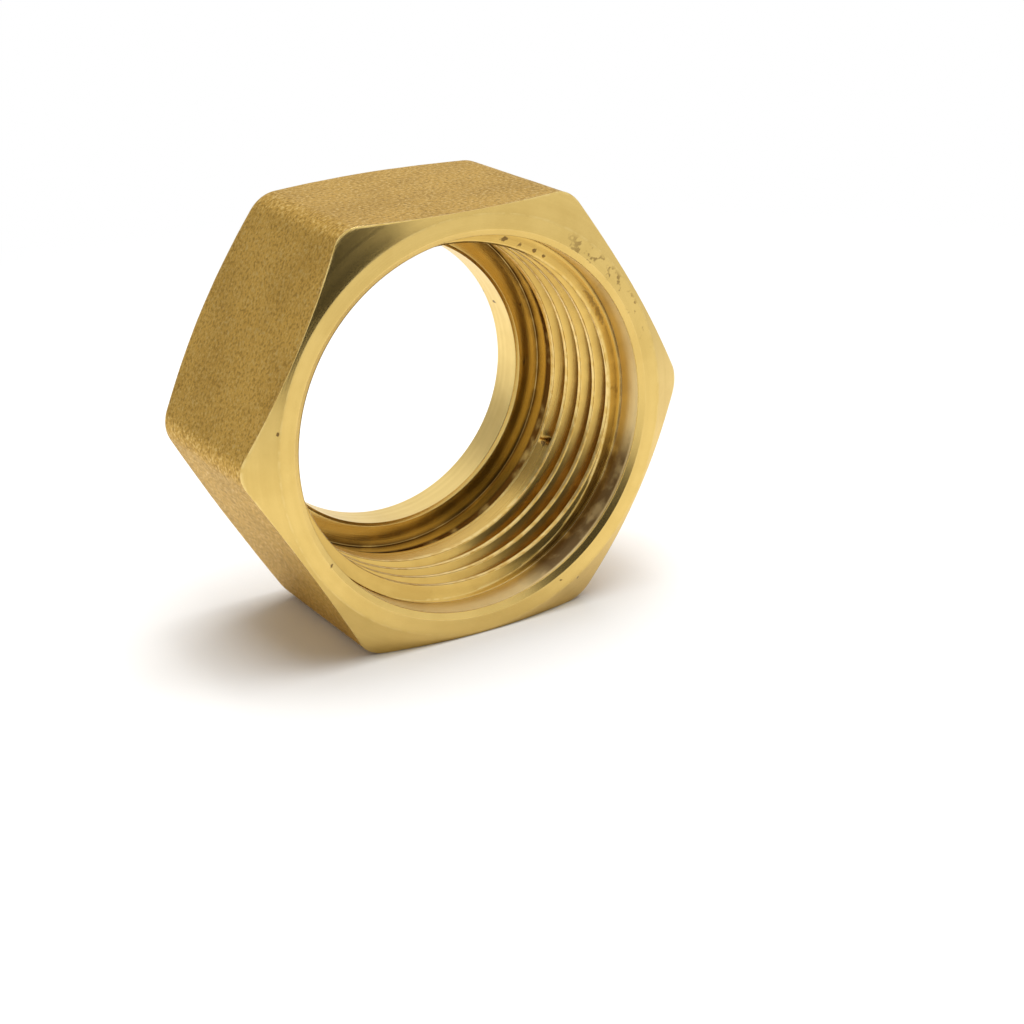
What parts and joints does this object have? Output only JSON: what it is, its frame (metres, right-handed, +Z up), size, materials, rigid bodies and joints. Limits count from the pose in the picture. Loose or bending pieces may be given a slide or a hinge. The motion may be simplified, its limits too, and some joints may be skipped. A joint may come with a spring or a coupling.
{
  "type": "pipe union nut",
  "caption": "Hexagonal brass union nut with an internal pipe thread at its mouth and an inward lip with a plain hole at its back, for joining a gas pipe to a threaded fitting.",
  "frame": {"origin": "centre of the footprint, on the floor under the flat that the nut stands on", "axes": "+Z up, +Y along the bore from the mouth to the lip, +X to the right when looking into the mouth"},
  "size_m": [0.034, 0.0154, 0.03],
  "materials": {
    "brass": "blasted forging skin on the flats, turned and bright on the faces, the thread and the bore"
  },
  "bodies": {
    "root": {"nut": "brass"}
  },
  "joints": []
}
